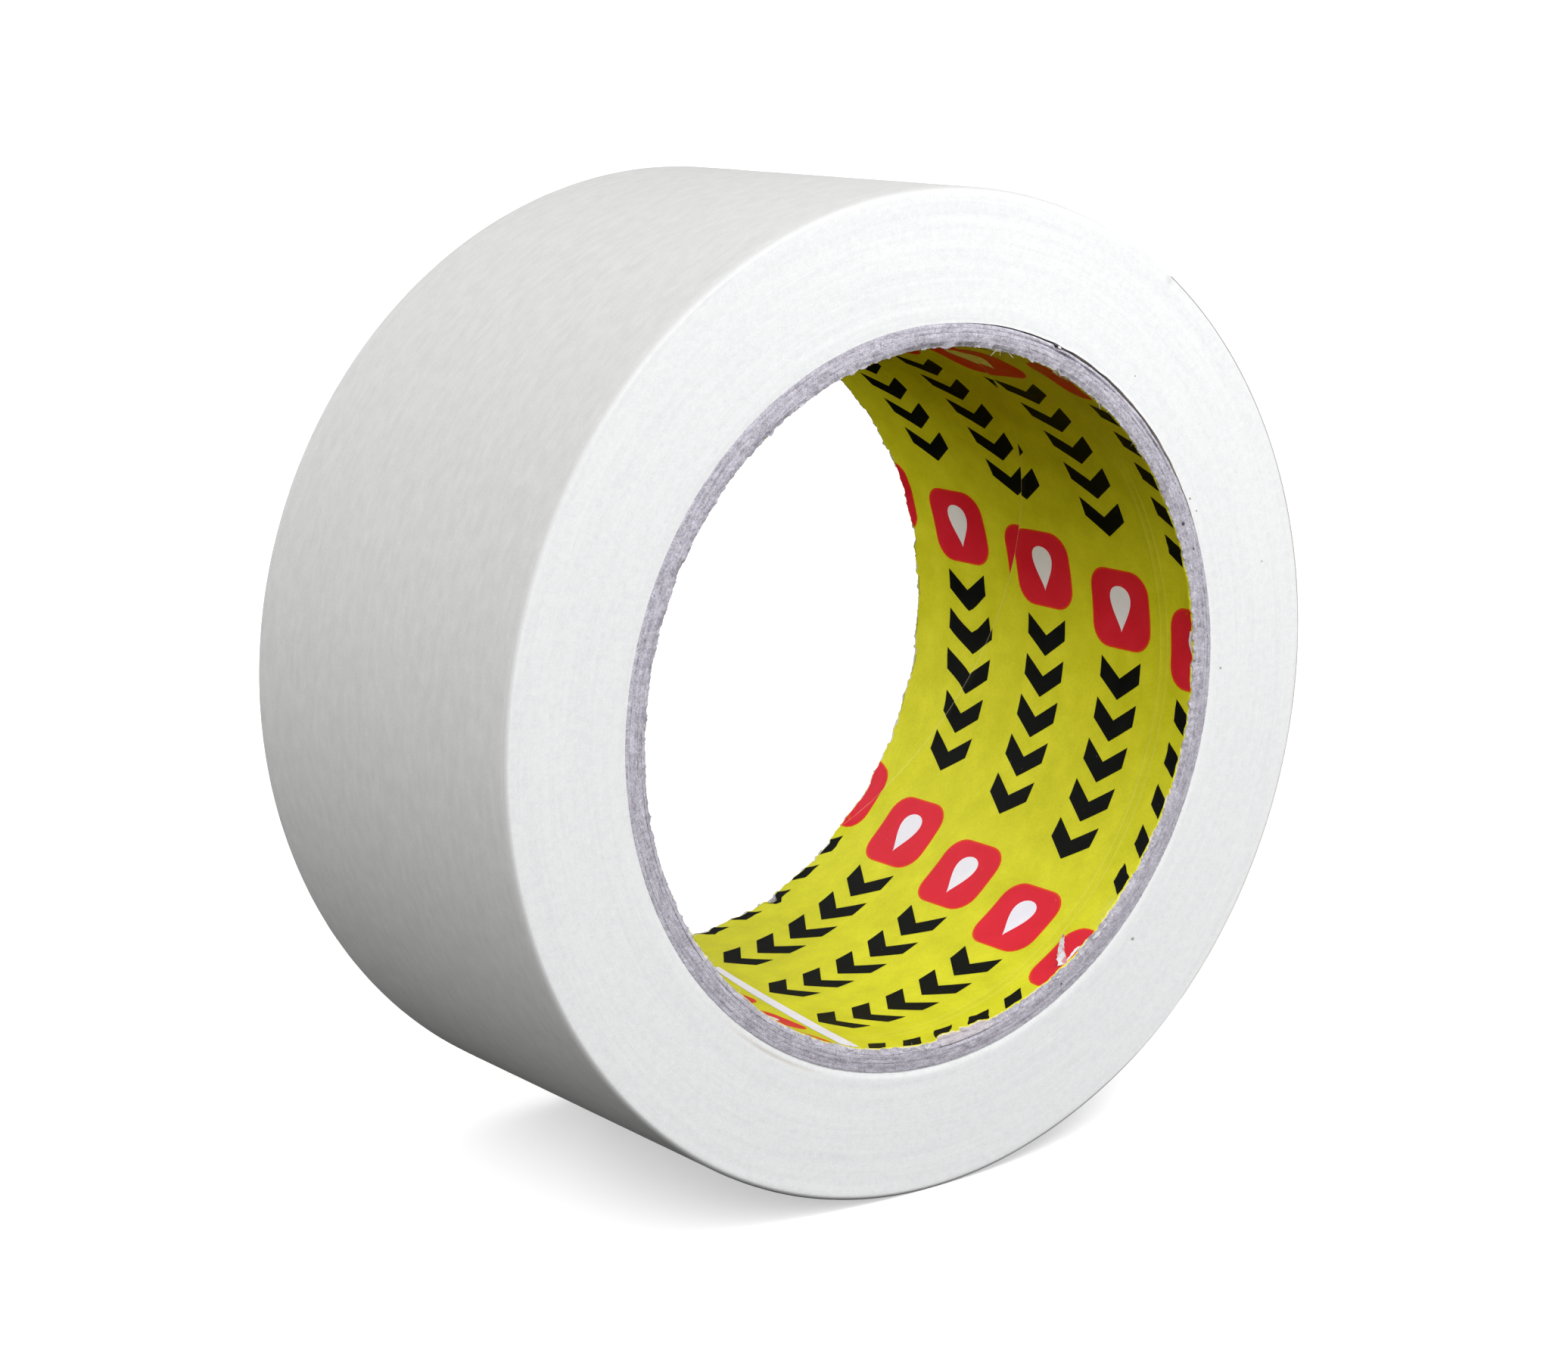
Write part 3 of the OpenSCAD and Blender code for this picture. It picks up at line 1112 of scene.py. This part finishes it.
def flecks():
    """Small torn flakes of white paper that still hang on the core's edges."""
    rng = np.random.default_rng(103)
    spots, faces = [], []
    places = list(FLAKES)
    for low, high, count in FLAKE_GROUPS:
        for _ in range(count):
            places.append((rng.uniform(low, high), LINER_R + rng.uniform(-0.1, 0.3), rng.uniform(0.25, 0.7)))
    for theta, radius, size in places:
        outward, along = out_and_round(theta)
        middle = Vector(polar(radius, theta, -HALF - 0.02))
        base = len(spots)
        lean = rng.uniform(-0.5, 0.5)
        for n in range(FLAKE_SIDES):
            angle = 2 * math.pi * n / FLAKE_SIDES
            reach = size * rng.uniform(0.35, 0.6)
            x, z = reach * 1.5 * math.cos(angle), reach * 0.6 * math.sin(angle)
            lift = 0.04 + 0.12 * size * (math.cos(angle) * lean + 0.6 * math.sin(angle) ** 2)
            spots.append(middle + along * x + outward * z + Vector((0, -lift, 0)))
        spots += [spot + Vector((0, FLAKE_THICK, 0)) for spot in spots[base:]]
        top = range(base, base + FLAKE_SIDES)
        faces += [list(top), [n + FLAKE_SIDES for n in reversed(top)]]
        for n in top:
            after = base + (n + 1 - base) % FLAKE_SIDES
            faces.append([n, n + FLAKE_SIDES, after + FLAKE_SIDES, after])
    loose_fibre("core_flecks", spots, faces)


def shred():
    """A torn shred of the liner that stands up from its front edge, at the lower right."""
    rng = np.random.default_rng(107)
    rows, sides = 16, 5
    length, wide, thick = SHRED_SIZE
    outward, tangent = out_and_round(SHRED_ANGLE)
    centre = Vector(polar(BORE_R + 0.1, SHRED_ANGLE, -HALF + 0.45))
    spots = np.zeros((rows, 2 * sides, 3))
    for row in range(rows):
        t = row / (rows - 1)
        lean = math.radians(25 + 9 * t)
        along = tangent * math.sin(lean) - outward * math.cos(lean) + Vector((0, 0.2 - 0.45 * t, 0))
        centre = centre + along.normalized() * (length / rows)
        turn = math.radians(-14 - 10 * t)
        across = (tangent * math.cos(lean) + outward * math.sin(lean)) * math.cos(turn)
        across = across + Vector((0, math.sin(turn), 0))
        normal = along.normalized().cross(across)
        half = wide / 2 * (1 - 0.85 * t**1.4)
        for side in range(sides):
            place = (2 * side / (sides - 1) - 1) * half * (1 + rng.uniform(-0.22, 0.22))
            cup = 0.18 * (place / wide) ** 2
            spots[row, side] = centre + across * place + normal * (cup + thick / 2)
            spots[row, -1 - side] = centre + across * place + normal * (cup - thick / 2)
    made = grid_mesh("liner_shred", spots, [SHRED], sharp=60)
    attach(made, "roll")


# -------- studio
def unit(azimuth, elevation):
    """The direction from the roll towards a place: azimuth 0 is in front, 90 to the right."""
    a, e = math.radians(azimuth), math.radians(elevation)
    return Vector((math.sin(a) * math.cos(e), -math.cos(a) * math.cos(e), math.sin(e)))


def aimed(name, data, direction):
    """Adds a camera or light that looks along a direction."""
    made = linked(name, data)
    made.rotation_mode = "QUATERNION"
    made.rotation_quaternion = direction.to_track_quat("-Z", "Y")
    return made


def camera():
    """Looks from the front left and a little above."""
    data = bpy.data.cameras.new("camera")
    data.lens = CAMERA_LENS
    data.sensor_width = 36
    data.clip_start = 0.01
    data.clip_end = 200
    made = aimed("camera", data, -unit(*CAMERA_AIM))
    made.location = unit(*CAMERA_PLACE) * CAMERA_DISTANCE * MM
    bpy.context.scene.camera = made


def sun(name, azimuth, elevation, strength, width):
    """Soft light from one side. strength is what a white surface facing it gives back."""
    data = bpy.data.lights.new(name, "SUN")
    data.energy = strength * math.pi
    data.angle = math.radians(width)
    aimed(name, data, -unit(azimuth, elevation))


def panel(name, place, size, strength):
    """A soft light panel near the roll, facing its centre. strength is what it adds to a white face."""
    spot = Vector(place) * MM
    data = bpy.data.lights.new(name, "AREA")
    data.shape = "DISK"
    data.size = size * MM
    data.energy = strength * math.pi**2 * spot.length_squared
    made = aimed(name, data, -spot)
    made.location = spot
    made.visible_camera = False


def world():
    """Pale studio walls: brighter above than below, and plain white where the camera sees them."""
    made = bpy.data.worlds.new("studio")
    made.use_nodes = True
    tree = made.node_tree
    shown = tree.nodes["Background"]
    shown.inputs["Color"].default_value = (1, 1, 1, 1)
    place = add_node(tree, "ShaderNodeTexCoord").outputs["Generated"]
    height = add_node(tree, "ShaderNodeSeparateXYZ", {0: place}).outputs[2]
    fade = add_node(tree, "ShaderNodeMapRange", {0: height, 1: -0.05, 2: 0.70, 3: 0.0, 4: 0.64})
    light = add_node(tree, "ShaderNodeBackground", {"Strength": fade.outputs[0]})
    seen = add_node(tree, "ShaderNodeLightPath").outputs["Is Camera Ray"]
    mix = add_node(tree, "ShaderNodeMixShader", {0: seen, 1: light.outputs[0], 2: shown.outputs[0]})
    tree.links.new(mix.outputs[0], tree.nodes["World Output"].inputs[0])
    bpy.context.scene.world = made


def floor():
    """A plain pale floor that the roll stands on, with its lengths in metres."""
    reach, sides = 80.0, 64
    angles = [2 * math.pi * n / sides for n in range(sides)]
    rim = [(reach * math.cos(a), reach * math.sin(a), cad_low.z) for a in angles]
    mesh = bpy.data.meshes.new("floor")
    mesh.from_pydata(rim, [], [range(sides)])
    paint = Shader("floor", roughness=0.8, specular=0.1)
    looks = {"Base Color": (0.9, 0.9, 0.9, 1), "Emission Color": (1, 1, 1, 1), "Emission Strength": 0.42}
    for key, value in looks.items():
        paint.main.inputs[key].default_value = value
    mesh.materials.append(paint.material)
    made = linked("floor", mesh)
    made.visible_diffuse = False
    made.visible_glossy = False


def studio():
    """Camera, soft light and floor."""
    camera()
    world()
    for light in SUNS:
        sun(*light)
    for light in PANELS:
        panel(*light)
    floor()
    bpy.context.scene.view_settings.view_transform = "Standard"


tape_roll()
tape_tail()
for ply in range(1, PLIES + 1):
    ply_ring(ply)
liner()
print_pattern()
fibres()
flecks()
shred()
studio()
